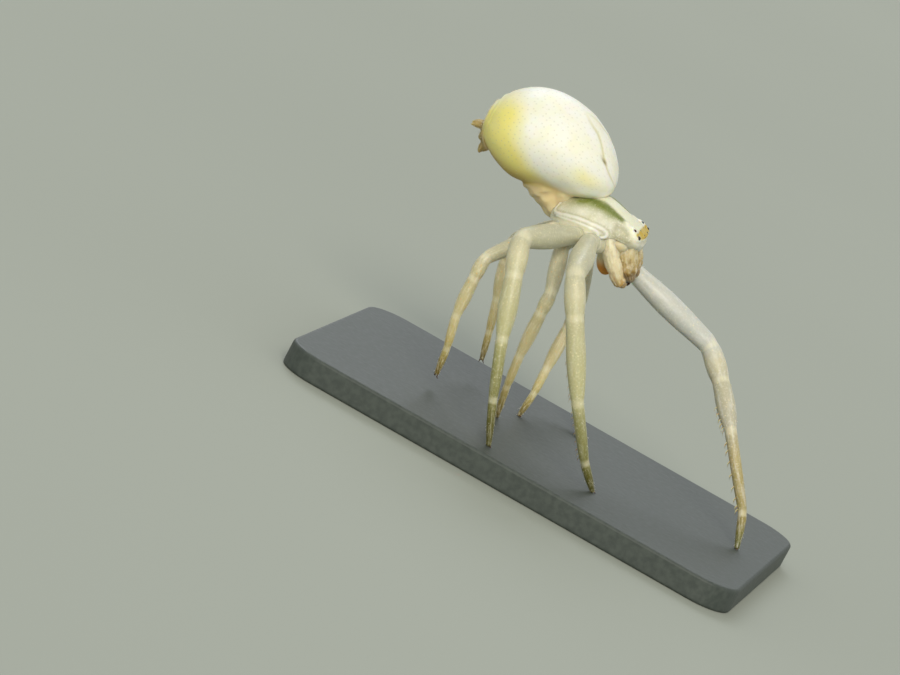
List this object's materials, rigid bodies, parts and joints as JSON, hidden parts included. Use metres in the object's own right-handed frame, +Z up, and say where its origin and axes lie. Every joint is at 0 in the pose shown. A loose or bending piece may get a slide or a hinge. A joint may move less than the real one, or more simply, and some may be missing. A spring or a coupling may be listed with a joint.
{
  "type": "crab spider model",
  "caption": "Life-size still model of a white crab spider standing tall on its legs with its abdomen raised, on a thin rectangular display base.",
  "frame": {"origin": "middle of the underside of the display base", "axes": "+X the way the spider heads, +Y its left side, +Z up"},
  "size_m": [0.0154, 0.012, 0.0104],
  "materials": {
    "shell": "waxy, pale greenish white with olive side bands",
    "abdomen": "satin, white to lemon yellow with fine grey dots",
    "mouthparts": "satin, pinkish cream",
    "waist": "satin, pinkish brown",
    "eye": "polished black",
    "spinneret": "satin, pinkish",
    "jaw": "satin, beige brown",
    "fang": "polished dark brown",
    "leg": "waxy, translucent greenish cream, brownish at the tips",
    "base": "satin dark grey"
  },
  "bodies": {
    "root": {"carapace": "shell", "abdomen": "abdomen", "sternum": "mouthparts", "pedicel": "waist", "eye_posterior_lateral_left": "eye", "eye_anterior_lateral_left": "eye", "eye_posterior_median_left": "eye", "eye_anterior_median_left": "eye", "spinneret_upper_left": "spinneret", "spinneret_lower_left": "spinneret", "chelicera_left": "jaw", "fang_left": "fang", "pedipalp_left": "mouthparts", "eye_posterior_lateral_right": "eye", "eye_anterior_lateral_right": "eye", "eye_posterior_median_right": "eye", "eye_anterior_median_right": "eye", "spinneret_upper_right": "spinneret", "spinneret_lower_right": "spinneret", "chelicera_right": "jaw", "fang_right": "fang", "pedipalp_right": "mouthparts", "leg_1_right_coxa": "leg", "leg_1_right_femur": "leg", "leg_1_right_tibia": "leg", "leg_1_right_foot": "leg", "leg_2_right_coxa": "leg", "leg_2_right_femur": "leg", "leg_2_right_tibia": "leg", "leg_2_right_foot": "leg", "leg_3_right_coxa": "leg", "leg_3_right_femur": "leg", "leg_3_right_tibia": "leg", "leg_3_right_foot": "leg", "leg_4_right_coxa": "leg", "leg_4_right_femur": "leg", "leg_4_right_tibia": "leg", "leg_4_right_foot": "leg", "leg_1_left_coxa": "leg", "leg_1_left_femur": "leg", "leg_1_left_tibia": "leg", "leg_1_left_foot": "leg", "leg_2_left_coxa": "leg", "leg_2_left_femur": "leg", "leg_2_left_tibia": "leg", "leg_2_left_foot": "leg", "leg_3_left_coxa": "leg", "leg_3_left_femur": "leg", "leg_3_left_tibia": "leg", "leg_3_left_foot": "leg", "leg_4_left_coxa": "leg", "leg_4_left_femur": "leg", "leg_4_left_tibia": "leg", "leg_4_left_foot": "leg", "stand_base": "base"}
  },
  "joints": []
}
